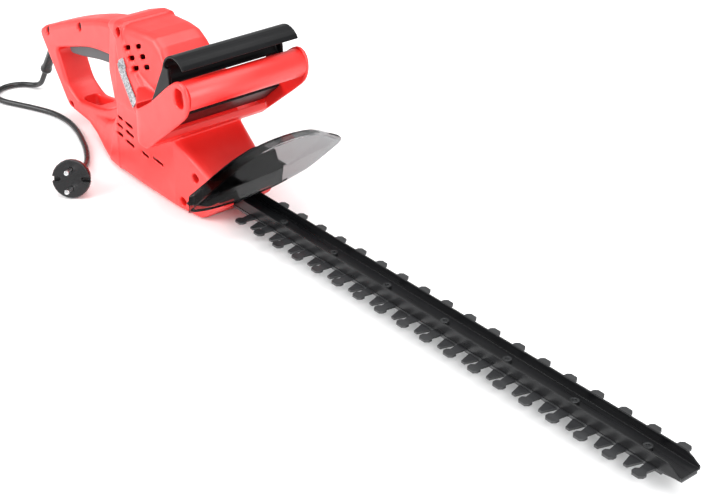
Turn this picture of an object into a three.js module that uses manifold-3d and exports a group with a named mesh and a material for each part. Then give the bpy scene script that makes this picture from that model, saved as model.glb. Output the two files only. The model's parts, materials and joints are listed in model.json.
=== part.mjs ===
// Corded electric hedge trimmer: a red clamshell body with a rear D handle, a front bar handle with
// a two-hand safety lever, a smoked hand guard and a double-sided blade under a U channel.
// Units are millimetres. +X runs along the blade, -Y is the tool's right side, +Z is up.
// The origin is the centre of the base plate's bottom face, which the tool rests on.
import * as THREE from "three";
import { mergeVertices } from "three/addons/utils/BufferGeometryUtils.js";
import Module from "manifold-3d";

const wasm = await Module();
wasm.setup();

// ------------------------------------------------------------------ driving dimensions
const GAP = 0.3; // clearance between neighbouring pieces
const WALL = 2.6; // moulded wall of the housing
const FAR = 400; // reach of a cutting block that passes right through

const BLADE = {
  teeth: 18,
  pitch: 30,
  firstTooth: 115,
  reach: 30.3, // from the centre line to a long tooth's tip
  headHalf: 5.9,
  neckHalf: 3.5,
  barHalf: 12.4,
  combBottom: 18.5,
  combTop: 20.6,
  combRear: 22,
  tip: 652,
  cutterBottom: 16.1,
  cutterTop: 18.2,
  cutterReach: 24.5,
  stroke: 16,
};
const CHANNEL = { half: 12, sheet: 1.5, floor: 20.9, rim: 31.5, rear: 30 };
const BOLT = { count: 7, first: 150, pitch: 76.8, shank: 2, hole: 2.3, head: 4.2 };

const MOTOR_X = -42; // upright motor axis
const GEAR = {
  x: -6, teeth: 38, pinionTeeth: 10, module: 1.5, bottom: 27, top: 33, shaft: 4, crankPin: 3.4,
};
const CRANK_RADIUS = BLADE.stroke / 2;
const BASE = { halfX: 56, halfY: 30 };

const BAR = { x: 88, z: 152, radius: 14, bore: 12.3, half: 66.9, seat: 61.5 };
const ARM_HALF = 71.4; // outer faces of the front handle's side plates
const ARM_INNER = 67.2;
const LEVER = { x: 24, z: 97, cover: 19.5, sheet: 2.3, half: 66.6, coverX: 73.5, coverZ: 168 };
const TRIGGER = { x: -131, z: 121, half: 8.8, pin: 2.4 };
const GRIP_HALF = 18;
const BODY_HALF = 50; // clears the body's widest section on each side
const CORD_RADIUS = 3.1;

// Housing screws, driven from the right: side-view place [x, z], then the y of the recess floor
// and of the screw's tip.
const SCREWS = {
  grip_rear: [-262, 99.5, -12, 6],
  grip_front: [-188.5, 126, -12, 6],
  rear_top: [-80, 157, -24, 18],
  rear_low: [-221, 24, -10, 6],
  front: [55, 46, -28, 22],
  front_low: [35, 13, -24, -15],
};

// ------------------------------------------------------------------ shape helpers
// The points through corners [x, y, reach]: reach rounds a corner that far back along its edges.
function cornerPoints(corners, steps = 3) {
  const at = corners.map(([x, y]) => new THREE.Vector2(x, y));
  const points = [];
  corners.forEach(([, , reach = 0], i) => {
    const corner = at[i];
    if (!reach) return points.push(corner);
    const before = at[(i + at.length - 1) % at.length];
    const after = at[(i + 1) % at.length];
    const start = corner.clone().lerp(before, Math.min(reach / corner.distanceTo(before), 0.5));
    const end = corner.clone().lerp(after, Math.min(reach / corner.distanceTo(after), 0.5));
    points.push(...new THREE.QuadraticBezierCurve(start, corner, end).getPoints(steps));
  });
  return points;
}

// The same points as a closed loop with no two neighbours alike.
const roundedLoop = (corners) =>
  cornerPoints(corners).filter((p, i, all) => p.distanceTo(all[(i + 1) % all.length]) > 1e-3);

// A manifold solid from a three.js geometry whose triangles close on themselves.
function solid(geometry) {
  const bare = geometry.clone();
  bare.deleteAttribute("normal");
  bare.deleteAttribute("uv");
  const merged = mergeVertices(bare, 1e-4);
  const index = merged.index.array;
  const build = (flip) => {
    const triVerts = [];
    for (let i = 0; i < index.length; i += 3) {
      const [a, b, c] = [index[i], index[i + 1], index[i + 2]];
      if (a !== b && b !== c && c !== a) triVerts.push(a, flip ? c : b, flip ? b : c);
    }
    const vertProperties = merged.attributes.position.array;
    const mesh = { numProp: 3, vertProperties, triVerts: new Uint32Array(triVerts) };
    return new wasm.Manifold(new wasm.Mesh(mesh));
  };
  const made = build(false);
  return made.volume() < 0 ? build(true) : made;
}

function geometryOf(body) {
  const mesh = body.getMesh();
  const geometry = new THREE.BufferGeometry();
  geometry.setAttribute("position", new THREE.BufferAttribute(mesh.vertProperties, 3));
  geometry.setIndex(new THREE.BufferAttribute(mesh.triVerts, 1));
  return geometry;
}

// The range of y between two distances from the centre plane, on one side of it.
const span = (side, near, far) => (side < 0 ? [-far, -near] : [near, far]);

const union = (...bodies) => bodies.reduce((all, next) => all.add(next));
const cut = (body, ...tools) => tools.reduce((rest, tool) => rest.subtract(tool), body);

// An outline extruded from low to high. `round` rounds its side edges in, and a negative one
// flares them out, as a cutter that leaves rounded edges round a hole.
function extruded(outline, low, high, round = 0) {
  const thickness = Math.abs(round);
  const geometry = new THREE.ExtrudeGeometry(new THREE.Shape(outline), {
    depth: high - low - 2 * thickness,
    bevelEnabled: round !== 0,
    bevelThickness: thickness,
    bevelSize: round,
    bevelOffset: -round,
    bevelSegments: 2,
  });
  return geometry.translate(0, 0, low + thickness);
}

// Side view: the outline's [x, y] is the part's [x, z], extruded across Y.
function across(corners, low, high, round = 0) {
  return solid(extruded(roundedLoop(corners), -high, -low, round).rotateX(Math.PI / 2));
}

// Top view: the outline's [x, y] is the part's [x, y], extruded up Z.
const upright = (corners, low, high) => solid(extruded(roundedLoop(corners), low, high));

// Front view: the outline's [x, y] is the part's [y, z], extruded along X.
function along(corners, low, high, { turn = 0, centre = [0, 0] } = {}) {
  const geometry = extruded(roundedLoop(corners), low, high);
  geometry.rotateZ(turn).translate(centre[0], centre[1], 0);
  const axes = [new THREE.Vector3(0, 1, 0), new THREE.Vector3(0, 0, 1), new THREE.Vector3(1, 0, 0)];
  return solid(geometry.applyMatrix4(new THREE.Matrix4().makeBasis(...axes)));
}

function block([x0, x1], [y0, y1], [z0, z1]) {
  const geometry = new THREE.BoxGeometry(x1 - x0, y1 - y0, z1 - z0);
  return solid(geometry.translate((x0 + x1) / 2, (y0 + y1) / 2, (z0 + z1) / 2));
}

// A disc or rod of constant radius with its axis along Z or Y.
function rodZ(x, y, radius, low, high, sides = 16) {
  const geometry = new THREE.CylinderGeometry(radius, radius, high - low, sides);
  return solid(geometry.rotateX(Math.PI / 2).translate(x, y, (low + high) / 2));
}

function rodY(x, z, radius, low, high, sides = 12) {
  const geometry = new THREE.CylinderGeometry(radius, radius, high - low, sides);
  return solid(geometry.translate(x, (low + high) / 2, z));
}

// A closed profile of [radius, height] pairs spun round an upright axis at x.
function spun(profile, x, sides = 20) {
  const loop = [...profile, profile[0]].map(([r, h]) => new THREE.Vector2(r, h));
  const geometry = new THREE.LatheGeometry(loop, sides);
  return solid(geometry.rotateX(Math.PI / 2).translate(x, 0, 0));
}

const ringZ = (x, outer, inner, low, high) =>
  spun([[inner, low], [outer, low], [outer, high], [inner, high]], x);

// A skin over cross-sections that each hold the same number of points, in order along X.
function skinned(sections) {
  const count = sections[0].length;
  const positions = sections.flat().flatMap((p) => [p.x, p.y, p.z]);
  const index = [];
  for (let s = 0; s < sections.length - 1; s++)
    for (let j = 0; j < count; j++) {
      const a = s * count + j;
      const b = s * count + ((j + 1) % count);
      index.push(a, b, a + count, b, b + count, a + count);
    }
  const last = (sections.length - 1) * count;
  for (let j = 1; j < count - 1; j++) {
    index.push(0, j + 1, j);
    index.push(last, last + j, last + j + 1);
  }
  const geometry = new THREE.BufferGeometry();
  geometry.setAttribute("position", new THREE.Float32BufferAttribute(positions, 3));
  return solid(geometry.setIndex(index));
}

// Stations [x, half width at the bottom, half width at the top, bottom, top] skinned as rounded
// trapezoids; `grow` moves every wall outward, or inward when it is negative.
function hull(stations, grow, bottomReach, topReach) {
  const shift = (i) => (i === 0 ? -grow : i === stations.length - 1 ? grow : 0);
  const sections = stations.map(([x, low, high, z0, z1], i) => {
    const corners = [
      [low + grow, z0 - grow, bottomReach],
      [high + grow, z1 + grow, topReach],
      [-high - grow, z1 + grow, topReach],
      [-low - grow, z0 - grow, bottomReach],
    ];
    return cornerPoints(corners, 3).map((p) => new THREE.Vector3(x + shift(i), p.x, p.y));
  });
  return skinned(sections);
}

// ------------------------------------------------------------------ housing
const BODY_STATIONS = [
  [-107, 23, 20, 7, 112],
  [-97, 34, 30, 3.4, 122],
  [-84, 41, 37, 1.2, 126],
  [-40, 42, 38.5, 0.6, 126],
  [0, 42, 40, 0.6, 112],
  [24, 42, 41.5, 0.6, 81],
  [58, 38, 37, 0.6, 61.5],
  [74, 35.5, 34.5, 12.6, 52.5],
  [90, 32, 31.5, 24, 43.5],
];
const HUMP_STATIONS = [
  [-119, 22, 19, 119, 152],
  [-105, 33, 27, 104, 159.5],
  [-88, 39, 30.5, 80, 164.5],
  [-62, 41, 30.5, 80, 166],
  [-38, 41, 29, 80, 167.5],
  [-22, 41, 28, 80, 166.5],
  [-11, 41, 28, 80, 160],
  [4, 41, 31, 80, 141],
  [21, 41, 37, 80, 112],
];
const TAIL_STATIONS = [
  [-214, 16.5, 15, 18, 31],
  [-190, 18.5, 17, 14.5, 32.5],
  [-160, 24.5, 20, 9.2, 34.5],
  [-132, 33, 26, 4.4, 38],
  [-106, 40, 33, 1.6, 50],
  [-84, 41.5, 40, 1, 70],
];
const bodyHull = (grow) => hull(BODY_STATIONS, grow, 10, 9);
const humpHull = (grow) => hull(HUMP_STATIONS, grow, 4, 8);
const tailHull = (grow) => hull(TAIL_STATIONS, grow, 9, 9);
const trunk = (grow) => union(bodyHull(grow), humpHull(grow));

// The rear D handle: outer outline and finger opening, in side view.
const D_OUTER = [
  [-287, 96, 13], [-214, 126, 30], [-150, 146.5, 20], [-98, 156], [-94, 12], [-130, 7, 10],
  [-165, 10, 16], [-205, 15.5, 12], [-230, 18, 8],
];
const D_ROUND = 6.5;
const D_OPENING = [
  [-246, 84, 8], [-214, 94.5, 14], [-171, 108.5, 30], [-131, 112.5, 10], [-112, 113, 8],
  [-102, 104, 8], [-102, 70, 22], [-140, 43, 24], [-205, 33, 8], [-228, 46, 8],
];
const OPENING_FLARE = 3.5;
const D_HOLLOW = [
  [-271, 93, 6], [-214, 120, 20], [-150, 140, 10], [-118, 146], [-118, 124, 3],
  [-176, 114.5, 20], [-250, 90.5, 3],
];
const POST_HOLLOW = [[-267, 88, 4], [-253, 92, 4], [-244, 72, 6], [-226, 40, 4], [-230, 28, 4]];

// The collar: a raised band that wraps the hump and runs down each side to the front handle.
const COLLAR = [
  [-122, 178], [-112, 157, 6], [-84, 150, 8], [-83, 139, 10], [-78, 127, 10], [-60, 98, 6],
  [-40, 80, 6], [14, 76], [14, 109], [-12, 108, 10], [-38, 122, 12], [-62, 141, 10],
  [-74, 153, 8], [-77, 178],
];
const COLLAR_RISE = 2.4;

// The front handle's arms: side-view outline, the plan in which they flare out, and the space
// between the side plates, with the cross wall left standing at its foot.
const ARM = [
  [-52, 96, 4], [-40, 80, 6], [22, 75, 3], [78, 119, 6], [101, 138, 12], [102.5, 161, 14],
  [88, 171, 14], [69, 159, 8], [33, 129, 6], [6, 112, 8], [-30, 117, 6],
];
const ARM_PLAN = [[-52, 30], [-34, 43.5, 6], [8, ARM_HALF, 8], [120, ARM_HALF]];
const TROUGH = [
  [-4, 104, 5], [6, 88, 5], [23, 84, 3], [33, 92.5, 1], [37, 78], [60, 50], [140, 50],
  [140, 220], [-4, 220],
];

// Cooling slots [x, z, length] on both sides: short ones high on the hump, long ones below.
const HIGH_SLOTS = { tilt: 0.33, height: 4.4, places: [] };
for (let row = 0; row < 3; row++)
  for (let column = 0; column < 2; column++)
    HIGH_SLOTS.places.push([-64 + 8 * row + 18 * column, 145 - 8.4 * row + 6.5 * column, 9]);
const LOW_SLOTS = {
  tilt: -0.1,
  height: 2.8,
  places: [
    [-79.5, 64, 11], [-62, 62, 15], [-80.5, 54.5, 12], [-61, 52.5, 17], [-81.5, 45, 13],
    [-61, 41.5, 17], [-31, 40.5, 14], [-7, 42, 21],
  ],
};

function slotCutters({ tilt, height, places }) {
  return union(
    ...places.map(([x, z, length]) => {
      const geometry = new THREE.BoxGeometry(length, FAR, height);
      return solid(geometry.rotateY(-tilt).translate(x, 0, z));
    }),
  );
}

function frontHandleShell() {
  const plan = upright([...ARM_PLAN, ...ARM_PLAN.map(([x, y, r]) => [x, -y, r]).reverse()], 0, FAR);
  const arms = across(ARM, -ARM_HALF, ARM_HALF, 2.5).intersect(plan);
  return cut(arms, across(TROUGH, -ARM_INNER, ARM_INNER));
}

// Spigots that carry the bar, and stubs that the lever pivots on.
function handleBosses() {
  const inward = BAR.half - 10;
  const boss = (x, z, radius, reach) =>
    union(rodY(x, z, radius, -ARM_INNER - 1, -reach), rodY(x, z, radius, reach, ARM_INNER + 1));
  return union(boss(BAR.x, BAR.z, BAR.bore - GAP, inward), boss(LEVER.x, LEVER.z, 3.7, 61));
}

function outerShell() {
  const collar = across(COLLAR, -FAR, FAR).intersect(trunk(COLLAR_RISE));
  const handle = across(D_OUTER, -GRIP_HALF, GRIP_HALF, D_ROUND);
  const opening = across(D_OPENING, -GRIP_HALF - GAP, GRIP_HALF + GAP, -OPENING_FLARE);
  return union(trunk(0), tailHull(0), collar, frontHandleShell(), handle).subtract(opening);
}

// The deep upright recess in each arm, through which the bar's end screw is driven.
const BAR_RECESS = [[79.5, 142, 7], [95, 142, 7], [95, 161, 7], [79.5, 161, 7]];

// The screw posts tie the two shells; each is bored for the screw from the right.
function screwPosts() {
  const posts = Object.values(SCREWS).map(([x, z, , tip]) =>
    rodY(x, z, 6.6, -BODY_HALF, tip > 0 ? BODY_HALF : tip - 5),
  );
  return union(...posts);
}

function screwBores() {
  const bores = Object.values(SCREWS).flatMap(([x, z, floor, tip]) => [
    rodY(x, z, 4.8, -FAR, floor),
    rodY(x, z, 2.2, floor - 1, tip + 2),
  ]);
  const bar = [-1, 1].flatMap((side) => [
    across(BAR_RECESS, ...span(side, BAR.seat, FAR)),
    rodY(BAR.x, BAR.z, 2, ...span(side, 50, BAR.seat + 1)),
  ]);
  return union(...bores, ...bar);
}

// The slot through the bridge below the D handle, for tucking in a loop of extension cord.
const CORD_SLOT = [[-209, -9.5, 5], [-171, -9.5, 5], [-171, 9.5, 5], [-209, 9.5, 5]];
const MOTOR_ROOM_REAR = -96; // the wall between the motor's space and the D opening stands here

function housing() {
  const gripHollow = union(across(D_HOLLOW, -13, 13), across(POST_HOLLOW, -12, 12));
  const triggerSlot = across(
    [[-240, 80], [-240, 98], [-152, 126], [-145, 133], [-120, 133], [-120, 104], [-134, 88]],
    -9.5, 9.5,
  );
  const bladeMouth = block([50, 130], [-16, 16], [12.4, 33.4]);
  const baseX = BASE.halfX + GAP;
  const baseY = BASE.halfY + GAP;
  const baseOpening = block([-baseX, baseX], [-baseY, baseY], [-FAR, 6]);
  const cordSlot = upright(CORD_SLOT, -FAR, 42);
  const bushSeat = solid(new THREE.CylinderGeometry(8.2, 8.2, 16, 20).applyMatrix4(bushFrame(4)));
  const pinSeat = rodY(TRIGGER.x, TRIGGER.z, TRIGGER.pin + GAP, -15.8, 15.8);
  const outside = outerShell();
  const behind = block([-FAR, MOTOR_ROOM_REAR], [-FAR, FAR], [-FAR, FAR]);
  const emptied = cut(outside, trunk(-WALL).subtract(behind), gripHollow, cordSlot);
  const braced = union(emptied, screwPosts().intersect(outside), handleBosses());
  return cut(
    braced, triggerSlot, bladeMouth, baseOpening, bushSeat, pinSeat, screwBores(),
    slotCutters(HIGH_SLOTS), slotCutters(LOW_SLOTS),
  );
}

// ------------------------------------------------------------------ cord, its bush and plug
const BUSH_TOP = new THREE.Vector3(-277, 0, 79);
const BUSH_END = new THREE.Vector3(-309, 0, 33);

// Places a Y-axis solid on the bush's axis, `back` millimetres above its top end.
function bushFrame(back) {
  const axis = BUSH_TOP.clone().sub(BUSH_END).normalize();
  const turn = new THREE.Quaternion().setFromUnitVectors(new THREE.Vector3(0, 1, 0), axis);
  const place = BUSH_TOP.clone().addScaledVector(axis, back);
  return new THREE.Matrix4().compose(place, turn, new THREE.Vector3(1, 1, 1));
}

const PLUG_FACE = new THREE.Vector3(-65.5, -109.5, 21);
const PLUG_RADIUS = 20;
const PIN_DIRECTION = new THREE.Vector3(0.712, -0.654, 0.257).normalize();
const PLUG_LENGTH = 38; // from the disc's face to the end of its strain relief
const NOTCH_REACH = 13; // from the plug's axis to the foot of each side notch
const NOTCH_HALF = 2.5;

// The cord leaves the bush straight, bends down onto the floor, loops round and runs to the plug.
const CORD_BEND = 25.6; // radius of the tightest bend
const CORD_STEP = 4;
const CORD_DROP = 20.5; // straight length below the bush
const CORD_TURNS = [[2, 1, 0], [5, 0.79, 0.65], [1, 0.2, 0.97], [17, 0, 0.99], [2, 0, 0.5]];
const CORD_FLOOR = [
  [-280, -33], [-256, -24.5], [-229, -22], [-201, -26], [-173, -34.5], [-147, -45], [-123, -58.5],
];

function cordPoints() {
  const heading = BUSH_END.clone().sub(BUSH_TOP).normalize();
  const point = BUSH_END.clone();
  const points = [point.clone(), point.addScaledVector(heading, CORD_DROP).clone()];
  let pitch = Math.asin(heading.z);
  let yaw = Math.PI;
  CORD_TURNS.forEach(([steps, down, side]) => {
    for (let i = 0; i < steps; i++) {
      const half = CORD_STEP / CORD_BEND / 2;
      pitch += down * half;
      yaw += (side * half) / Math.cos(pitch);
      const flat = new THREE.Vector3(Math.cos(yaw), Math.sin(yaw), 0).multiplyScalar(Math.cos(pitch));
      points.push(point.addScaledVector(flat.setZ(Math.sin(pitch)), CORD_STEP).clone());
      pitch += down * half;
      yaw += (side * half) / Math.cos(pitch);
    }
  });
  points.push(...CORD_FLOOR.map(([x, y]) => new THREE.Vector3(x, y, CORD_RADIUS + 0.2)));
  [PLUG_LENGTH + 16, PLUG_LENGTH + 9, PLUG_LENGTH + 1].forEach((back) =>
    points.push(PLUG_FACE.clone().addScaledVector(PIN_DIRECTION, -back)),
  );
  return points;
}


function cord() {
  const route = new THREE.CatmullRomCurve3(cordPoints(), false, "centripetal");
  const section = new THREE.Shape().absarc(0, 0, CORD_RADIUS, 0, 2 * Math.PI);
  const options = { extrudePath: route, steps: 64, curveSegments: 4, bevelEnabled: false };
  return solid(new THREE.ExtrudeGeometry(section, options));
}

function cordBush() {
  const length = BUSH_TOP.distanceTo(BUSH_END);
  const profile = [
    [3.6, -length], [6.6, -length], [6.8, 3.5 - length], [5.6, 9 - length], [5.2, -20], [6, -8],
    [7.6, -2], [7.8, 10], [3.6, 10],
  ].map(([r, h]) => new THREE.Vector2(r, h));
  return solid(new THREE.LatheGeometry([...profile, profile[0]], 14).applyMatrix4(bushFrame(0)));
}

// Turns a Y-axis solid so that +Y points out of the plug's pin face.
function plugFrame() {
  const turn = new THREE.Quaternion().setFromUnitVectors(new THREE.Vector3(0, 1, 0), PIN_DIRECTION);
  return new THREE.Matrix4().compose(PLUG_FACE, turn, new THREE.Vector3(1, 1, 1));
}

// The two pins stand one above the other in the disc's face.
const PIN_SPREAD = (() => {
  const up = new THREE.Vector3(0, 0, 1).addScaledVector(PIN_DIRECTION, -PIN_DIRECTION.z);
  return up.normalize().multiplyScalar(9.8);
})();

function plugPin(side, radius, low, high) {
  const geometry = new THREE.CylinderGeometry(radius, radius, high - low, 14);
  geometry.translate(0, (low + high) / 2, 0).applyMatrix4(plugFrame());
  const offset = PIN_SPREAD.clone().multiplyScalar(side);
  return solid(geometry.translate(offset.x, offset.y, offset.z));
}

function plugBody() {
  const profile = [
    [0, 0], [PLUG_RADIUS - 1, 0], [PLUG_RADIUS, 1.2], [PLUG_RADIUS, 6], [PLUG_RADIUS - 1.6, 8.4],
    [12.6, 10], [11, 16], [9.4, 24], [6.4, 27], [5, PLUG_LENGTH], [0, PLUG_LENGTH],
  ].map(([r, depth]) => new THREE.Vector2(r, -depth));
  const body = solid(new THREE.LatheGeometry(profile, 24).applyMatrix4(plugFrame()));
  const up = PIN_SPREAD.clone().normalize();
  const side = new THREE.Vector3().crossVectors(PIN_DIRECTION, up);
  const frame = new THREE.Matrix4().makeBasis(side, PIN_DIRECTION, up).setPosition(PLUG_FACE);
  const notches = [-1, 1].flatMap((way) => {
    const foot = new THREE.CylinderGeometry(NOTCH_HALF, NOTCH_HALF, 14, 12);
    const wayOut = new THREE.BoxGeometry(PLUG_RADIUS, 14, 2 * NOTCH_HALF);
    return [
      solid(foot.translate(way * NOTCH_REACH, 0, 0).applyMatrix4(frame)),
      solid(wayOut.translate(way * (NOTCH_REACH + PLUG_RADIUS / 2), 0, 0).applyMatrix4(frame)),
    ];
  });
  const sockets = [-1, 1].map((way) => plugPin(way, 2.4 + GAP, -6, 1));
  return cut(body, ...notches, ...sockets);
}

// ------------------------------------------------------------------ controls and guard
// Two-hand lever: a C-shaped cover over the bar, two side arms and a cross plate by the pivot.
function switchLever() {
  const { coverX, coverZ, cover, sheet, half } = LEVER;
  const arc = (radius, from, to) =>
    Array.from({ length: 15 }, (_, i) => {
      const angle = THREE.MathUtils.degToRad(from + ((to - from) * i) / 14);
      return [coverX + radius * Math.cos(angle), coverZ + radius * Math.sin(angle)];
    });
  const shell = across([...arc(cover, 31, 226), ...arc(cover - sheet, 226, 31)], -half, half);
  const arm = [[15, 91, 7], [33, 96, 5], [66, 152, 4], [64, 172], [55, 172, 2], [14, 98, 4]];
  const arms = [-1, 1].map((side) => {
    const range = span(side, half - 3.4, half);
    return across(arm, ...range).subtract(rodY(LEVER.x, LEVER.z, 4, -FAR, FAR));
  });
  const crossPlate = across([[32, 95], [59, 118], [57, 121], [30, 98]], 1 - half, half - 1);
  return union(shell, ...arms, crossPlate);
}

function trigger() {
  const outline = [
    [-232, 91, 3], [-229, 81, 5], [-202, 85, 14], [-165, 93, 14], [-138, 96, 6], [-123, 110, 4],
    [-124, 128, 4], [-138, 128, 4], [-150, 113, 8], [-190, 103, 10],
  ];
  const bore = rodY(TRIGGER.x, TRIGGER.z, TRIGGER.pin + GAP, -FAR, FAR);
  return across(outline, -TRIGGER.half, TRIGGER.half, 2).subtract(bore);
}

function coil(turns, radius, wire, rise) {
  class Helix extends THREE.Curve {
    getPoint(t) {
      const angle = 2 * Math.PI * turns * t;
      return new THREE.Vector3(radius * Math.cos(angle), radius * Math.sin(angle), rise * t);
    }
  }
  const section = new THREE.Shape().absarc(0, 0, wire, 0, 2 * Math.PI);
  const options = { extrudePath: new Helix(), steps: 8 * turns, curveSegments: 2 };
  return new THREE.ExtrudeGeometry(section, { ...options, bevelEnabled: false });
}

// Smoked tray in front of the housing: a plate whose side walls flare towards the blade, and the
// plate is narrower and shallower than the rim by these factors about the height of its top edge.
const GUARD = { back: 112, front: 124.5, sheet: 2.2, top: 93 };
const BACKING = 3.2; // thickness of the plate behind the guard
const GUARD_PLATE = { width: 0.9, height: 0.78 };
const GUARD_RIM = [
  [-93, 54.5, 4], [-69, 66.5, 14], [-36, 81.5, 18], [-3, 92, 18], [40, 95, 20], [75, 89.5, 14],
  [96, 76, 10], [75, 67, 8], [49.5, 57, 8], [8, 49.7, 14], [-30, 47.5, 14], [-69, 49.5, 10],
];

function guardSection(x, width, height, drop = 0) {
  return roundedLoop(GUARD_RIM).map(
    (p) => new THREE.Vector3(x, p.x * width, GUARD.top + (p.y - GUARD.top) * height - drop),
  );
}

function handGuard() {
  const { back, front, sheet } = GUARD;
  const { width, height } = GUARD_PLATE;
  const outside = skinned([guardSection(back, width, height), guardSection(front, 1, 1)]);
  const bowl = skinned([
    guardSection(back + sheet, width - 0.05, height - 0.05, 0.8 * sheet),
    guardSection(front + 1, 0.94, 0.93, 0.8 * sheet),
  ]);
  return cut(outside, bowl);
}

// A block screwed to the nose, with a plate that backs the guard's right half.
function guardBracket() {
  const face = GUARD.back - GAP;
  const side = [
    [90 + GAP + 0.2, 34.5], [97, 34.5], [101, 56, 3], [face, 61], [face, 82], [104, 82, 3],
    [90.5, 60],
  ];
  const front = [
    [-38, 30], [38, 30], [38, 60, 8], [24, 66, 3], [20, 82], [-20, 82], [-24, 66, 3], [-38, 60, 8],
  ];
  const backing = [
    [-84, 55, 2], [-62, 70, 8], [-33, 83, 10], [-4, 91, 6], [10, 88, 6], [24, 66], [18, 50, 4],
    [-20, 49, 8], [-60, 44, 6],
  ];
  const mount = across(side, -FAR, FAR).intersect(along(front, 80, 120));
  return union(mount, along(backing, face - BACKING, face));
}

// ------------------------------------------------------------------ blade
// Repeats a half-tooth profile of [dx, y] along one edge of a blade, from first to last.
function toothedEdge(profile, first, count) {
  const edge = [];
  for (let i = 0; i < count; i++)
    profile.forEach(([dx, y]) => edge.push([first + i * BLADE.pitch + dx, y]));
  return edge;
}

// A blade outline that is the same on both sides of the centre line.
function mirroredOutline(edge) {
  return [...edge, ...edge.map(([x, y, reach]) => [x, -y, reach]).reverse()];
}

const boltXs = Array.from({ length: BOLT.count }, (_, i) => BOLT.first + i * BOLT.pitch);

function bladeComb() {
  const { barHalf, neckHalf, headHalf, reach, firstTooth, teeth } = BLADE;
  const tooth = [
    [-neckHalf - 1.5, barHalf], [-neckHalf, reach - 9], [-headHalf, reach - 6.5],
    [-headHalf, reach - 2.8], [-neckHalf, reach], [neckHalf, reach], [headHalf, reach - 2.8],
    [headHalf, reach - 6.5], [neckHalf, reach - 9], [neckHalf + 1.5, barHalf],
  ];
  const edge = [[BLADE.combRear, barHalf], ...toothedEdge(tooth, firstTooth, teeth)];
  const outline = mirroredOutline([...edge, [BLADE.tip - 6, barHalf - 3], [BLADE.tip, 9]]);
  const bolts = boltXs.map((x) => rodZ(x, 0, BOLT.hole, 0, FAR, 8));
  return cut(upright(outline, BLADE.combBottom, BLADE.combTop), ...bolts);
}

function cutterBlade() {
  const { pitch, firstTooth, teeth, cutterReach, barHalf, stroke } = BLADE;
  const root = barHalf - 1.5;
  const tooth = [[-6.2, root], [-2, cutterReach], [2, cutterReach], [6.2, root]];
  const edge = [[-16, root], ...toothedEdge(tooth, firstTooth + pitch / 2, teeth - 1), [634, root]];
  const slotHalf = stroke / 2 + BOLT.hole + 0.4;
  const slots = boltXs.map((x) =>
    block([x - slotHalf, x + slotHalf], [-BOLT.hole - 0.3, BOLT.hole + 0.3], [0, FAR]),
  );
  const blade = cut(upright(mirroredOutline(edge), BLADE.cutterBottom, BLADE.cutterTop), ...slots);
  const yoke = block([GEAR.x - 10, GEAR.x + 10], [-17, 17], [BLADE.cutterBottom, 20.4]);
  const slotX = GEAR.crankPin + GAP;
  const slotY = CRANK_RADIUS + GEAR.crankPin + GAP;
  const slot = block([GEAR.x - slotX, GEAR.x + slotX], [-slotY, slotY], [0, FAR]);
  return union(blade, yoke).subtract(slot);
}

function bladeChannel() {
  const { half, sheet, floor, rim, rear } = CHANNEL;
  const web = half - sheet;
  const section = [
    [-half, floor], [half, floor], [half, rim], [web, rim], [web, floor + sheet],
    [-web, floor + sheet], [-web, rim], [-half, rim],
  ];
  const side = [[rear, 0], [BLADE.tip, 0], [BLADE.tip, 24], [BLADE.tip - 14, rim + 1, 8], [rear, 33]];
  const bolts = boltXs.map((x) => rodZ(x, 0, BOLT.hole, 0, FAR, 8));
  const made = along(section, rear, BLADE.tip).intersect(across(side, -half - 1, half + 1));
  return cut(made, ...bolts);
}

function bladeBolt(x) {
  const seat = CHANNEL.floor + CHANNEL.sheet + GAP;
  const head = rodZ(x, 0, BOLT.head, seat, seat + 2.6, 10);
  const socket = rodZ(x, 0, 2, seat + 1.4, seat + 3, 6);
  return union(head, rodZ(x, 0, BOLT.shank, 11.8, seat + 1, 8)).subtract(socket);
}

const bladeNut = (x) =>
  rodZ(x, 0, 4.3, 12.6, BLADE.cutterBottom - GAP, 6).subtract(rodZ(x, 0, BOLT.hole, 0, FAR, 8));

// ------------------------------------------------------------------ motor and gearing
function gearOutline(teeth, phase) {
  const pitchRadius = (teeth * GEAR.module) / 2;
  const tip = pitchRadius + 0.75 * GEAR.module;
  const root = pitchRadius - 1.2 * GEAR.module;
  const step = (2 * Math.PI) / teeth;
  const at = (radius, angle) => [radius * Math.cos(angle), radius * Math.sin(angle)];
  return Array.from({ length: teeth }, (_, i) => phase + i * step).flatMap((angle) => [
    at(root, angle - 0.27 * step), at(tip, angle - 0.12 * step),
    at(tip, angle + 0.12 * step), at(root, angle + 0.27 * step),
  ]);
}

function gearBody(x, outline, low, high, bore) {
  const placed = outline.map(([a, b]) => [a + x, b]);
  return upright(placed, low, high).subtract(rodZ(x, 0, bore, 0, FAR, 20));
}

function driveGear() {
  const outline = gearOutline(GEAR.teeth, 0);
  const wheel = gearBody(GEAR.x, outline, GEAR.bottom, GEAR.top, GEAR.shaft + GAP);
  const crankPin = rodZ(GEAR.x, -CRANK_RADIUS, GEAR.crankPin, 20.4 + GAP, GEAR.bottom + 1);
  return union(wheel, crankPin);
}

const pinion = () =>
  gearBody(
    MOTOR_X, gearOutline(GEAR.pinionTeeth, Math.PI / GEAR.pinionTeeth),
    GEAR.bottom - 0.5, GEAR.top + 0.5, 3 + GAP,
  );

const motorShaft = () =>
  spun([[0, 24], [3, 24], [3, 34], [4, 34.2], [4, 148], [0, 148]], MOTOR_X, 20);

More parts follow.
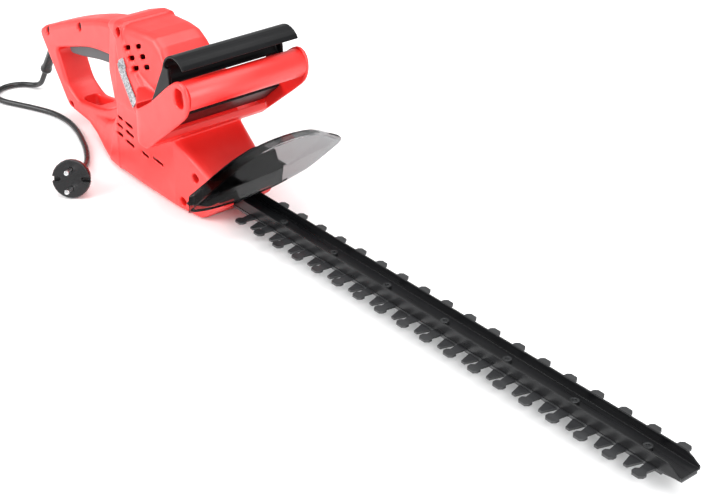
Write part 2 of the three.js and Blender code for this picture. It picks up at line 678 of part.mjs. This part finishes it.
const FAN_BLADES = 7;
function fan() {
  const hub = ringZ(MOTOR_X, 9, 4 + GAP, 47, 57);
  const disc = ringZ(MOTOR_X, 26, 4 + GAP, 47, 49);
  const blades = Array.from({ length: FAN_BLADES }, (_, i) => {
    const geometry = new THREE.BoxGeometry(17.6, 1.6, 8).translate(17, 0, 52.5);
    return solid(geometry.rotateZ((i * 2 * Math.PI) / FAN_BLADES).translate(MOTOR_X, 0, 0));
  });
  return union(hub, disc, ...blades);
}

// The cap that carries the motor's upper bearing.
const motorCap = () =>
  spun(
    [
      [24, 121], [26.5, 121], [26.5, 149], [9.5 + GAP, 149], [9.5 + GAP, 146], [24, 146],
    ],
    MOTOR_X, 28,
  );

function gearPlate() {
  const outline = [[-66, -33, 8], [30, -33, 8], [60, -12], [60, 12], [30, 33, 8], [-66, 33, 8]];
  const plate = upright(outline, 35.4, 38.8);
  const foot = block([36, 58], [-9.8, 9.8], [CHANNEL.floor + CHANNEL.sheet + GAP, 38]);
  const cup = rodZ(MOTOR_X, 0, 14, 35.4, 44.4);
  const shaftBoss = rodZ(GEAR.x, 0, 9, 35.4, 44);
  return cut(
    union(plate, foot, cup, shaftBoss),
    rodZ(MOTOR_X, 0, 11 + GAP, 37.2, FAR), rodZ(MOTOR_X, 0, 6, 0, FAR),
    rodZ(GEAR.x, 0, GEAR.shaft + GAP, 0, 42.6),
  );
}

function housingScrew(x, z, floor, tip) {
  const head = rodY(x, z, 3.9, floor - 2.8, floor - GAP, 12);
  const socket = rodY(x, z, 1.9, floor - 3, floor - 1.5, 6);
  return union(head, rodY(x, z, 1.8, floor - 1, tip, 8)).subtract(socket);
}

// ------------------------------------------------------------------ materials and assembly
const FINISH = {
  red: { color: 0xd8271c, roughness: 0.42, metalness: 0 },
  black: { color: 0x17181a, roughness: 0.45, metalness: 0 },
  grey: { color: 0x55585b, roughness: 0.5, metalness: 0 },
  smoke: { color: 0x3a3b3d, roughness: 0.15, metalness: 0 },
  coated: { color: 0x1b1c1e, roughness: 0.4, metalness: 0.6 },
  steel: { color: 0x9a9ca0, roughness: 0.35, metalness: 1 },
  copper: { color: 0xb06a3a, roughness: 0.4, metalness: 1 },
  silver: { color: 0xb9bbbe, roughness: 0.3, metalness: 0.8 },
  rubber: { color: 0x141415, roughness: 0.55, metalness: 0 },
};

const trimmer = new THREE.Group();
function place(name, finish, body) {
  const mesh = new THREE.Mesh(geometryOf(body), new THREE.MeshStandardMaterial(FINISH[finish]));
  mesh.name = name;
  trimmer.add(mesh);
  return mesh;
}

const shell = housing();
const halfSpace = (low, high) => block([-FAR, FAR], [low, high], [-FAR, FAR]);
place("housing_right", "red", shell.intersect(halfSpace(-FAR, -GAP / 2)));
place("housing_left", "red", shell.intersect(halfSpace(GAP / 2, FAR)));

const barProfile = [
  [BAR.radius, -1], [BAR.radius, 1], [BAR.bore, 1], [BAR.bore, 0.84], [1.9, 0.84], [1.9, 0.74],
  [BAR.bore, 0.74], [BAR.bore, -0.74], [1.9, -0.74], [1.9, -0.84], [BAR.bore, -0.84],
  [BAR.bore, -1], [BAR.radius, -1],
].map(([r, part]) => new THREE.Vector2(r, part * BAR.half));
place(
  "front_handle_bar", "red",
  solid(new THREE.LatheGeometry(barProfile, 24).translate(BAR.x, 0, BAR.z)),
);
const [lugX, lugZ] = SCREWS.front_low;
place("base_plate", "black", union(
  block([-BASE.halfX, BASE.halfX], [-BASE.halfY, BASE.halfY], [0, WALL]),
  block([-50, 20], [-24, 24], [2, 4.6]),
  block([lugX - 6, lugX + 6], [-19.4, -14.2], [2, lugZ + 6]),
).subtract(rodY(lugX, lugZ, 2.2, -FAR, 0)));

place("switch_lever", "black", switchLever());
place("lever_spring", "steel", solid(
  coil(3, 5.4, 0.6, 6).rotateX(Math.PI / 2).translate(LEVER.x, -56, LEVER.z),
));
place("trigger", "grey", trigger());
place("trigger_pin", "steel", rodY(TRIGGER.x, TRIGGER.z, TRIGGER.pin, -15.4, 15.4, 14));
place("trigger_spring", "steel", solid(coil(5, 3.6, 0.5, 18.6).translate(-206, 0, 101)));

place("hand_guard", "smoke", handGuard());
place("guard_bracket", "black", guardBracket());

place("blade_channel", "coated", bladeChannel());
place("blade_comb", "coated", bladeComb());
place("cutter_blade", "coated", cutterBlade());
boltXs.forEach((x, i) => {
  place(`blade_bolt_${i + 1}`, "steel", bladeBolt(x));
  place(`blade_nut_${i + 1}`, "steel", bladeNut(x));
});

place("drive_gear", "steel", driveGear());
place("gear_shaft", "steel", rodZ(GEAR.x, 0, GEAR.shaft, GEAR.bottom - 1, 42));
place("pinion", "steel", pinion());
place("motor_shaft", "steel", motorShaft());
place("armature_core", "copper", ringZ(MOTOR_X, 18, 4 + GAP, 60, 104));
place("commutator", "copper", ringZ(MOTOR_X, 11, 4 + GAP, 106, 120));
place("fan", "black", fan());
place("stator", "steel", ringZ(MOTOR_X, 35, 18.5, 59, 105));
place("bearing_upper", "steel", ringZ(MOTOR_X, 9.5, 4 + GAP, 137, 145));
place("bearing_lower", "steel", ringZ(MOTOR_X, 11, 4 + GAP, 37.5, 44.4));
[[-24, -11.6], [11.6, 24]].forEach((range, i) =>
  place(`brush_holder_${i + 1}`, "black", block([MOTOR_X - 5, MOTOR_X + 5], range, [107, 119])),
);
place("motor_cap", "black", motorCap());
place("gear_plate", "silver", gearPlate());

place("microswitch_rear", "black", block([-174, -152], [-5, 5], [120, 129.5]));
place("microswitch_front", "black", block([-4, 14], [-9, 9], [92, 104]));
place("cord_clamp", "black", block([-253, -240], [-9, 9], [95.5, 99.5]));
place("cord_bush", "rubber", cordBush());
place("cord", "rubber", cord());
place("plug_body", "rubber", plugBody());
[-1, 1].forEach((side, i) => place(`plug_pin_${i + 1}`, "silver", plugPin(side, 2.4, -5.6, 19)));

Object.entries(SCREWS).forEach(([name, where]) =>
  place(`screw_${name}`, "steel", housingScrew(...where)),
);
[-1, 1].forEach((side) => {
  const head = rodY(BAR.x, BAR.z, 3.9, ...span(side, BAR.seat + GAP, BAR.seat + 3));
  const shank = rodY(BAR.x, BAR.z, 1.6, ...span(side, 47, BAR.seat + 0.5), 8);
  place(side < 0 ? "screw_bar_right" : "screw_bar_left", "steel", union(head, shank));
});

// A plain silver plate lies on the collar's flat on each side.
const BADGE = [[-76.5, 128.5, 2], [-67, 135, 2], [-36.5, 99, 2], [-45, 88, 2]];
const badgeSkin = trunk(COLLAR_RISE + GAP + 1).subtract(trunk(COLLAR_RISE + GAP));
[-1, 1].forEach((side) =>
  place(
    side < 0 ? "badge_right" : "badge_left", "silver",
    badgeSkin.intersect(across(BADGE, ...span(side, 20, BODY_HALF))),
  ),
);

export default trimmer;
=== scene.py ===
"""Corded hedge trimmer: red moulded body, D handle, front bar handle with a two-hand lever,
smoked guard and a double-sided blade, on a plain pale floor. Metres, in the CAD frame, but
outlines and routes are in millimetres and scaled by MM."""

import json
import math

import bmesh
import bpy
import numpy as np
from mathutils import Matrix, Vector

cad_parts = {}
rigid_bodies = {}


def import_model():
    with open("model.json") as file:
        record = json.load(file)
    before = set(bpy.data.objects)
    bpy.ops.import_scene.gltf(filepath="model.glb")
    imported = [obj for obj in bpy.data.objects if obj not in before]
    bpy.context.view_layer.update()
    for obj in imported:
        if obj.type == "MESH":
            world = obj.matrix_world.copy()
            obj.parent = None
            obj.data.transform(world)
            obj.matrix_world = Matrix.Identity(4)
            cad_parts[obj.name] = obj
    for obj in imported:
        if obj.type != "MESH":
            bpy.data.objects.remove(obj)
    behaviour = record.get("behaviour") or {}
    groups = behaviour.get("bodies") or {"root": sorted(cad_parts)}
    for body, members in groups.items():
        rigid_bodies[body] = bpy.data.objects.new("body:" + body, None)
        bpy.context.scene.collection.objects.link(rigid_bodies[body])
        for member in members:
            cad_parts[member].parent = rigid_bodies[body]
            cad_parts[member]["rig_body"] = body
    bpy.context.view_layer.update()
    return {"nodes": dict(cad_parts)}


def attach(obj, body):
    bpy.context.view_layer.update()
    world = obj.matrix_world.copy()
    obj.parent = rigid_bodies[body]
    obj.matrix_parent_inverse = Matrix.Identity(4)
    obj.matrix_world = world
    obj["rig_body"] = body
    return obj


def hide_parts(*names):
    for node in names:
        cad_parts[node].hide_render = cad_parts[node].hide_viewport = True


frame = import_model()
NODES = frame["nodes"]
MM = 0.001
WELD = 1e-6  # points nearer than this are one point
SEAM_REACH = 0.45 * MM  # the shells' parting faces lie within this of the centre plane
SEAM_LAP = 1.2 * MM  # how far each shell runs past the plane while both are moulded as one
SEAM_GAP = 0.02 * MM  # half the hairline that is left between them
EDGE_WIDTH = 0.3 * MM
EDGE_ANGLE = math.radians(35)

# ------------------------------------------------------------------ camera
CAMERA_PLACE = Vector((1.2056, -0.7735, 0.7312))
CAMERA_LOOK = Vector((-0.6763, 0.5492, -0.4909))
camera_data = bpy.data.cameras.new("camera")
camera_data.lens = 79.1
camera_data.sensor_width = 36.0
camera_data.clip_start = 0.01
camera = bpy.data.objects.new("camera", camera_data)
camera.location = CAMERA_PLACE
camera.rotation_mode = "QUATERNION"
camera.rotation_quaternion = CAMERA_LOOK.to_track_quat("-Z", "Y")
bpy.context.scene.collection.objects.link(camera)
bpy.context.scene.camera = camera


# ------------------------------------------------------------------ mesh helpers
def link(data, name):
    """A new object in the scene that holds this data."""
    obj = bpy.data.objects.new(name, data)
    bpy.context.scene.collection.objects.link(obj)
    return obj


def applied(obj):
    """The object's mesh with its modifiers applied and none left on it."""
    graph = bpy.context.evaluated_depsgraph_get()
    mesh = bpy.data.meshes.new_from_object(obj.evaluated_get(graph), depsgraph=graph)
    obj.modifiers.clear()
    obj.data = mesh
    return obj


def smooth_faces(obj):
    obj.data.polygons.foreach_set("use_smooth", [True] * len(obj.data.polygons))
    return obj


def mesh_of(made, name):
    """The bmesh as a finished mesh; the bmesh is freed."""
    mesh = bpy.data.meshes.new(name)
    made.to_mesh(mesh)
    made.free()
    return mesh


def copied(*names, name):
    """One new mesh object holding the welded meshes of these CAD nodes."""
    made = bmesh.new()
    for node in names:
        made.from_mesh(NODES[node].data)
    bmesh.ops.remove_doubles(made, verts=made.verts, dist=WELD)
    return link(mesh_of(made, name), name)


def softened(obj, voxel, passes):
    """The object with its edges rounded as a mould leaves them."""
    remesh = obj.modifiers.new("skin", "REMESH")
    remesh.mode = "VOXEL"
    remesh.voxel_size = voxel
    soften = obj.modifiers.new("soften", "SMOOTH")
    soften.factor = 0.5
    soften.iterations = passes
    return smooth_faces(applied(obj))


def standing_for(obj, node):
    """Lets the object take a CAD node's place."""
    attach(obj, NODES[node]["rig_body"])
    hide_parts(node)
    return obj


def moulded(node, voxel, passes):
    """A new moulded skin in a CAD node's place."""
    return standing_for(softened(copied(node, name="moulded_" + node), voxel, passes), node)


def clamshell(voxel, passes):
    """Both housing shells moulded as one skin, then parted in a hairline on the centre plane."""
    whole = copied("housing_right", "housing_left", name="clamshell")
    for vertex in whole.data.vertices:
        if abs(vertex.co.y) < SEAM_REACH:
            vertex.co.y = -math.copysign(SEAM_LAP, vertex.co.y)
    softened(whole, voxel, passes)
    shells = []
    for node, side in (("housing_right", -1), ("housing_left", 1)):
        made = bmesh.new()
        made.from_mesh(whole.data)
        parted = bmesh.ops.bisect_plane(
            made, geom=[*made.verts, *made.edges, *made.faces], plane_co=(0, side * SEAM_GAP, 0),
            plane_no=(0, -side, 0), clear_outer=True,
        )
        rim = [item for item in parted["geom_cut"] if isinstance(item, bmesh.types.BMEdge)]
        for edge in rim:
            edge.smooth = False
        bmesh.ops.triangle_fill(made, edges=rim, use_beauty=False)
        name = "moulded_" + node
        shells.append(standing_for(smooth_faces(link(mesh_of(made, name), name)), node))
    bpy.data.objects.remove(whole)
    return shells


def turned(sides):
    """Evenly spaced angles round a full turn."""
    return [2 * math.pi * i / sides for i in range(sides)]


def lathe(name, profile, sides, matrix):
    """A closed (radius, height) profile spun round local Y, placed by matrix."""
    made = bmesh.new()
    rings = []
    for radius, height in profile:
        places = [(radius * math.cos(a), height, radius * math.sin(a)) for a in turned(sides)]
        rings.append([made.verts.new(place) for place in places])
    for low, high in zip(rings, rings[1:]):
        for i in range(sides):
            j = (i + 1) % sides
            made.faces.new((low[i], low[j], high[j], high[i]))
    bmesh.ops.remove_doubles(made, verts=made.verts, dist=WELD)
    bmesh.ops.recalc_face_normals(made, faces=made.faces)
    mesh = mesh_of(made, name)
    mesh.transform(matrix)
    return smooth_faces(link(mesh, name))


def edged(obj):
    """Softens a CAD node's hard edges with small bevels and even shading."""
    weld = obj.modifiers.new("weld", "WELD")
    weld.merge_threshold = WELD
    bevel = obj.modifiers.new("edges", "BEVEL")
    bevel.width = EDGE_WIDTH
    bevel.segments = 2
    bevel.limit_method = "ANGLE"
    bevel.angle_limit = EDGE_ANGLE
    bevel.harden_normals = False
    smooth_faces(obj)
    normals = obj.modifiers.new("normals", "WEIGHTED_NORMAL")
    normals.keep_sharp = False
    return obj


# ------------------------------------------------------------------ materials
def principled(name, colour, roughness, **sockets):
    """A material and its shader, with any further sockets set by name."""
    material = bpy.data.materials.new(name)
    material.use_nodes = True
    shader = material.node_tree.nodes["Principled BSDF"]
    shader.inputs["Base Color"].default_value = (*colour, 1)
    shader.inputs["Roughness"].default_value = roughness
    for socket, value in sockets.items():
        shader.inputs[socket.replace("_", " ").title().replace("Ior", "IOR")].default_value = value
    return material, shader


def noise(material, scale, detail, stretch=(1, 1, 1)):
    """A noise value over the object, stretched along its axes."""
    tree = material.node_tree
    place = tree.nodes.new("ShaderNodeTexCoord")
    mapping = tree.nodes.new("ShaderNodeMapping")
    mapping.inputs["Scale"].default_value = stretch
    texture = tree.nodes.new("ShaderNodeTexNoise")
    texture.inputs["Scale"].default_value = scale
    texture.inputs["Detail"].default_value = detail
    tree.links.new(place.outputs["Object"], mapping.inputs["Vector"])
    tree.links.new(mapping.outputs["Vector"], texture.inputs["Vector"])
    return texture.outputs["Fac"]


def ramped(material, value, low, high):
    """The middle part of a noise value's range, spread from low to high."""
    spread = material.node_tree.nodes.new("ShaderNodeMapRange")
    for socket, number in (("From Min", 0.3), ("From Max", 0.7), ("To Min", low), ("To Max", high)):
        spread.inputs[socket].default_value = number
    material.node_tree.links.new(value, spread.inputs["Value"])
    return spread.outputs["Result"]


def varied(material, shader, value, first, second):
    """Base colour that drifts between two colours with the value."""
    tree = material.node_tree
    mix = tree.nodes.new("ShaderNodeMix")
    mix.data_type = "RGBA"
    mix.inputs["A"].default_value = (*first, 1)
    mix.inputs["B"].default_value = (*second, 1)
    tree.links.new(value, mix.inputs["Factor"])
    tree.links.new(mix.outputs["Result"], shader.inputs["Base Color"])


def bumped(material, shader, value, strength, distance):
    """Raises the surface by the value, up to the distance."""
    tree = material.node_tree
    bump = tree.nodes.new("ShaderNodeBump")
    bump.inputs["Strength"].default_value = strength
    bump.inputs["Distance"].default_value = distance
    tree.links.new(value, bump.inputs["Height"])
    tree.links.new(bump.outputs["Normal"], shader.inputs["Normal"])


# Noise scales, in cells a metre: slow drift of colour, drift of gloss, and moulded grain.
DRIFT_SCALE = 14
GLOSS_SCALE = 55
GRAIN_SCALE = 1400


def plastic(name, dark, light, roughness, grain=0.25, **sockets):
    """Moulded plastic: a fine spark-eroded grain, and slow drifts of colour and gloss."""
    material, shader = principled(name, light, roughness, **sockets)
    slow = noise(material, DRIFT_SCALE, 3)
    varied(material, shader, ramped(material, slow, 0, 1), dark, light)
    gloss = ramped(material, noise(material, GLOSS_SCALE, 4), roughness - 0.05, roughness + 0.06)
    material.node_tree.links.new(gloss, shader.inputs["Roughness"])
    bumped(material, shader, noise(material, GRAIN_SCALE, 2), grain, 0.12 * MM)
    return material


def metal(name, dark, light, roughness, stretch, scale=300, bump=0.2, **sockets):
    """Metal with a directional grain, such as rolling or grinding leaves."""
    material, shader = principled(name, light, roughness, **sockets)
    streaks = noise(material, scale, 5, stretch)
    varied(material, shader, ramped(material, streaks, 0, 1), dark, light)
    gloss = ramped(material, noise(material, scale * 0.4, 3, stretch), roughness - 0.08, roughness + 0.1)
    material.node_tree.links.new(gloss, shader.inputs["Roughness"])
    bumped(material, shader, streaks, bump, 0.08 * MM)
    return material


RED = plastic(
    "red_plastic", (0.72, 0.011, 0.0085), (0.82, 0.018, 0.013), 0.40, ior=1.5, specular_ior_level=0.85,
)
BLACK = plastic(
    "black_plastic", (0.003, 0.0032, 0.0037), (0.0055, 0.0057, 0.0065), 0.33, specular_ior_level=0.16,
)
GREY = plastic("grey_plastic", (0.042, 0.044, 0.048), (0.062, 0.065, 0.069), 0.42)
RUBBER = plastic("flexible_plastic", (0.004, 0.004, 0.0045), (0.008, 0.008, 0.009), 0.27, grain=0.08)
COATED = metal(
    "coated_steel", (0.003, 0.0032, 0.0038), (0.008, 0.0083, 0.0092), 0.3, (0.08, 1, 1),
    metallic=0.0, specular_ior_level=0.3,
)
TOOTHED = metal(
    "blackened_steel", (0.011, 0.0115, 0.0125), (0.021, 0.022, 0.024), 0.36, (0.08, 1, 1),
    metallic=0.0, specular_ior_level=0.6,
)
# Dark steel: the blade bolts and nuts are black; on the housing screws, which sit in recesses, the dark
# colour is painted shade.
DARK_STEEL_AND_RECESS_SHADE = metal("dark_steel_and_painted_recess_shade", (0.02, 0.021, 0.022), (0.07, 0.072, 0.075), 0.4, (1, 1, 1), metallic=0.8)
STEEL = metal("steel", (0.42, 0.43, 0.45), (0.62, 0.63, 0.65), 0.28, (1, 1, 0.15), metallic=1.0)
COPPER = metal("copper", (0.45, 0.17, 0.07), (0.62, 0.28, 0.13), 0.32, (1, 1, 0.1), metallic=1.0)
CAST = metal("cast_aluminium", (0.5, 0.51, 0.53), (0.62, 0.63, 0.65), 0.5, (1, 1, 1), metallic=1.0)
CHROME = metal("bright_metal", (0.68, 0.69, 0.7), (0.8, 0.81, 0.82), 0.22, (0.3, 1, 1), metallic=1.0)
BADGE = metal(
    "hammered_metal", (0.07, 0.072, 0.076), (0.62, 0.63, 0.65), 0.35, (1, 1, 1), scale=620,
    bump=0.5, metallic=0.9,
)

SMOKE, smoke_shader = principled(
    "smoked_plastic", (0.3, 0.304, 0.308), 0.08, ior=1.3, transmission_weight=1.0,
)
smoke_gloss = ramped(SMOKE, noise(SMOKE, 40, 3), 0.04, 0.1)
SMOKE.node_tree.links.new(smoke_gloss, smoke_shader.inputs["Roughness"])


def dress(obj, material):
    """Gives the object its one material."""
    obj.data.materials.clear()
    obj.data.materials.append(material)
    return obj


# ------------------------------------------------------------------ cord, bush and plug
CORD_RADIUS = 3.1
BUSH_TOP = Vector((-277, 0, 79))
BUSH_END = Vector((-309, 0, 33))
PLUG_FACE = Vector((-65.5, -109.5, 21))
PIN_DIRECTION = Vector((0.712, -0.654, 0.257)).normalized()
PLUG_LENGTH = 38  # from the disc's face to the end of its strain relief
PLUG_TAIL = (16, 9, 1)  # the cord's last points, this far behind that end
CORD_BEND = 25.6  # radius of the tightest bend
CORD_STEP = 4
CORD_DROP = 20.5  # straight length below the bush
CORD_LIFT = 0.2  # the cord's underside above the floor, where it lies flat
CORD_LEAST_LIFT = 0.05
CORD_SPACING = 3
CORD_SIDES = 16
CURVE_STEPS = 16  # places worked out between two points of a curve
# Each turn: its steps, and how much of the bend levels the cord out and how much turns it sideways.
CORD_TURNS = [(2, 1, 0), (5, 0.79, 0.65), (1, 0.2, 0.97), (17, 0, 0.99), (2, 0, 0.5)]
CORD_FLOOR = [
    (-280, -33), (-256, -24.5), (-229, -22), (-201, -26), (-173, -34.5), (-147, -45), (-123, -58.5),
]


def cord_points():
    """Straight from the bush, down onto the floor, round a loop and along to the plug."""
    heading = (BUSH_END - BUSH_TOP).normalized()
    point = BUSH_END + heading * CORD_DROP
    points = [BUSH_END.copy(), point.copy()]
    pitch, yaw = math.asin(heading.z), math.pi
    half = CORD_STEP / CORD_BEND / 2
    for steps, down, side in CORD_TURNS:
        for _ in range(steps):
            pitch += down * half
            yaw += side * half / math.cos(pitch)
            flat = math.cos(pitch)
            ahead = Vector((flat * math.cos(yaw), flat * math.sin(yaw), math.sin(pitch)))
            point = point + CORD_STEP * ahead
            points.append(point.copy())
            pitch += down * half
            yaw += side * half / math.cos(pitch)
    points += [Vector((x, y, CORD_RADIUS + CORD_LIFT)) for x, y in CORD_FLOOR]
    points += [PLUG_FACE - PIN_DIRECTION * (PLUG_LENGTH + back) for back in PLUG_TAIL]
    return points


def through(points, spacing):
    """A centripetal Catmull-Rom curve through the points, as evenly spaced places."""
    ends = [2 * points[0] - points[1], *points, 2 * points[-1] - points[-2]]
    fine = []
    for a, b, c, d in zip(ends, ends[1:], ends[2:], ends[3:]):
        knots = np.cumsum([0, *(math.sqrt((q - p).length) for p, q in ((a, b), (b, c), (c, d)))])
        for t in np.linspace(knots[1], knots[2], CURVE_STEPS, endpoint=False):
            near = [
                p.lerp(q, (t - knots[i]) / (knots[i + 1] - knots[i]))
                for i, (p, q) in enumerate(((a, b), (b, c), (c, d)))
            ]
            middle = [
                near[i].lerp(near[i + 1], (t - knots[i]) / (knots[i + 2] - knots[i])) for i in (0, 1)
            ]
            fine.append(middle[0].lerp(middle[1], (t - knots[1]) / (knots[2] - knots[1])))
    fine.append(points[-1])
    travelled = np.cumsum([0, *((q - p).length for p, q in zip(fine, fine[1:]))])
    stops = np.linspace(0, travelled[-1], int(travelled[-1] / spacing) + 1)
    spread = [np.interp(stops, travelled, [p[axis] for p in fine]) for axis in range(3)]
    return [Vector(place) for place in zip(*spread)]


def tube(name, line, radius, sides):
    """A closed round tube along a line of points."""
    made = bmesh.new()
    across_line = Vector((0, 1, 0))
    rings = []
    for i, place in enumerate(line):
        ahead = (line[min(i + 1, len(line) - 1)] - line[max(i - 1, 0)]).normalized()
        across_line = (across_line - ahead * across_line.dot(ahead)).normalized()
        up = ahead.cross(across_line)
        spokes = [math.cos(a) * across_line + math.sin(a) * up for a in turned(sides)]
        rings.append([made.verts.new(place + radius * spoke) for spoke in spokes])
    for low, high in zip(rings, rings[1:]):
        for k in range(sides):
            made.faces.new((low[k], low[(k + 1) % sides], high[(k + 1) % sides], high[k]))
    made.faces.new(rings[0])
    made.faces.new(rings[-1])
    bmesh.ops.recalc_face_normals(made, faces=made.faces)
    return smooth_faces(link(mesh_of(made, name), name))


cord_line = [p * MM for p in through(cord_points(), CORD_SPACING)]
for place in cord_line:
    place.z = max(place.z, (CORD_RADIUS + CORD_LEAST_LIFT) * MM)
cord = tube("mains_cord", cord_line, CORD_RADIUS * MM, CORD_SIDES)
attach(cord, "housing")
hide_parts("cord")
dress(cord, RUBBER)


def aimed(origin, axis):
    """Turns local +Y onto the axis and moves the origin there, from millimetres to metres."""
    turn = Vector((0, 1, 0)).rotation_difference(axis).to_matrix().to_4x4()
    return Matrix.Translation(origin * MM) @ turn @ Matrix.Scale(MM, 4)


BUSH_LENGTH = (BUSH_TOP - BUSH_END).length
bush = lathe("cord_bush_skin", [
    (3.6, -BUSH_LENGTH), (6.1, -BUSH_LENGTH), (6.6, 0.5 - BUSH_LENGTH), (6.7, 3 - BUSH_LENGTH),
    (6.2, 4.5 - BUSH_LENGTH), (5.5, 8 - BUSH_LENGTH), (5.3, -30), (5.6, -18), (6.3, -8), (7.4, -2),
    (7.8, 2), (7.8, 10), (3.6, 10), (3.6, -BUSH_LENGTH),
], 40, aimed(BUSH_TOP, (BUSH_TOP - BUSH_END).normalized()))
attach(bush, "housing")
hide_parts("cord_bush")
dress(bush, RUBBER)

BAR_CENTRE = Vector((88, 0, 152))
BAR_RADIUS = 14
BAR_BORE = 12.4
BAR_HALF = 66.8
BAR_EDGE = 0.4
bar_end = [
    (BAR_BORE, BAR_HALF), (BAR_RADIUS - BAR_EDGE, BAR_HALF), (BAR_RADIUS, BAR_HALF - BAR_EDGE),
]
bar_start = [(radius, -height) for radius, height in bar_end]
bar = lathe(
    "handle_bar_skin", [*bar_start, *reversed(bar_end), bar_start[0]], 72,
    aimed(BAR_CENTRE, Vector((0, 1, 0))),
)
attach(bar, "housing")
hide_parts("front_handle_bar")
dress(bar, RED)

# ------------------------------------------------------------------ moulded pieces
for shell in clamshell(1.0 * MM, 9):
    dress(shell, RED)
for node, voxel, passes, material, slot in (
    ("switch_lever", 0.8 * MM, 3, BLACK, "black_plastic"),
    ("trigger", 0.7 * MM, 4, GREY, "grey_plastic"),
    ("guard_bracket", 0.8 * MM, 3, BLACK, "black_plastic"),
):
    dress(moulded(node, voxel, passes), material)

# ------------------------------------------------------------------ CAD nodes that stay
FASTENERS = ("blade_bolt_", "blade_nut_", "screw_")
KEPT = {
    BLACK: ("black_plastic", [
        "base_plate", "fan", "brush_holder_1", "brush_holder_2", "microswitch_rear",
        "microswitch_front", "cord_clamp", "motor_cap",
    ]),
    RUBBER: ("rubber", ["plug_body"]),
    COATED: ("coated_steel", ["blade_channel"]),
    TOOTHED: ("coated_steel", ["blade_comb", "cutter_blade"]),
    COPPER: ("copper", ["armature_core", "commutator"]),
    CAST: ("cast_aluminium", ["gear_plate"]),
    CHROME: ("bright_metal", ["plug_pin_1", "plug_pin_2"]),
    BADGE: ("bright_metal", ["badge_right", "badge_left"]),
    # the housing screws' dark colour is painted recess shade
    DARK_STEEL_AND_RECESS_SHADE: ("steel", [n for n in sorted(NODES) if n.startswith(FASTENERS)]),
    SMOKE: ("smoked_plastic", ["hand_guard"]),
}
kept = {n for _, names in KEPT.values() for n in names}
hidden = {n for n in NODES if NODES[n].hide_render}
KEPT[STEEL] = ("steel", [n for n in sorted(NODES) if n not in kept and n not in hidden])
for material, (slot, names) in KEPT.items():
    for node in names:
        dress(edged(NODES[node]), material)

# ------------------------------------------------------------------ stage and light
FLOOR_HALF = 12
floor_made = bmesh.new()
bmesh.ops.create_grid(floor_made, x_segments=8, y_segments=8, size=FLOOR_HALF)
floor = link(mesh_of(floor_made, "floor"), "floor")
floor_material, floor_shader = principled("pale_floor", (0.9, 0.903, 0.906), 0.6)
varied(
    floor_material, floor_shader, ramped(floor_material, noise(floor_material, 3, 2), 0, 1),
    (0.89, 0.894, 0.897), (0.905, 0.907, 0.91),
)
floor.data.materials.append(floor_material)

world = bpy.data.worlds.new("studio")
world.use_nodes = True
world.node_tree.nodes["Background"].inputs["Color"].default_value = (1, 1, 1, 1)
world.node_tree.nodes["Background"].inputs["Strength"].default_value = 0.68
bpy.context.scene.world = world
bpy.context.scene.view_settings.view_transform = "Standard"


def softbox(name, place, aim, size, power):
    """A rectangular light at a place, turned to a point."""
    light = bpy.data.lights.new(name, "AREA")
    light.shape = "RECTANGLE"
    light.size, light.size_y = size
    light.energy = power
    obj = bpy.data.objects.new(name, light)
    obj.location = place
    obj.rotation_mode = "QUATERNION"
    obj.rotation_quaternion = (Vector(aim) - Vector(place)).to_track_quat("-Z", "Y")
    bpy.context.scene.collection.objects.link(obj)


softbox("key", (-0.9, -2.4, 1.7), (0.1, 0, 0.05), (2.6, 2.2), 88)
softbox("front", (2.6, -0.5, 1.4), (0, 0, 0.08), (2.0, 2.0), 55)
softbox("top", (0.4, 0.3, 2.6), (0.2, 0, 0), (2.6, 2.6), 55)
